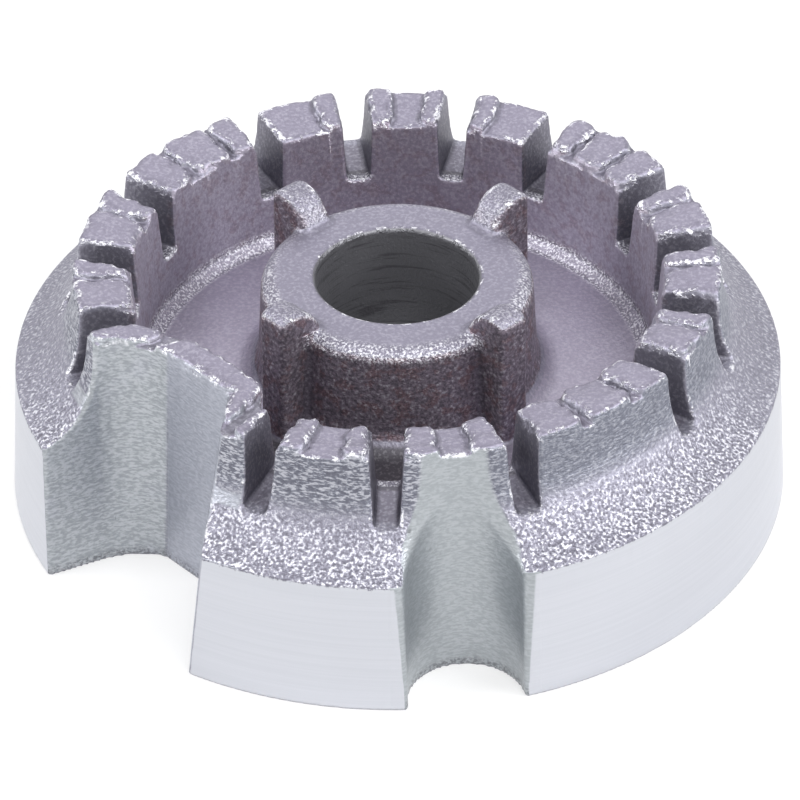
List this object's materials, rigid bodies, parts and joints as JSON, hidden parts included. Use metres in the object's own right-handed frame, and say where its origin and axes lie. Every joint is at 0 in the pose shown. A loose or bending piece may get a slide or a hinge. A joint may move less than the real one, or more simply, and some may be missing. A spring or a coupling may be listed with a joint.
{
  "type": "gas burner flame spreader",
  "caption": "Round cast flame spreader with a slotted tooth ring, a centre boss with a mixing bore, locating lugs, an electrode notch and a sensor channel.",
  "frame": {"origin": "centre of the bottom rim, on the axis of the centre bore", "axes": "+Z along the bore, out of the boss and the tooth tops; +Y through the middle of the back tooth; the notches face -X -Y and -Y"},
  "size_m": [0.055, 0.055, 0.0185],
  "materials": {
    "cast_aluminium": "matte die-cast skin, with a smoother turned band round the base"
  },
  "bodies": {
    "root": {"flame_spreader": "cast_aluminium"}
  },
  "joints": []
}
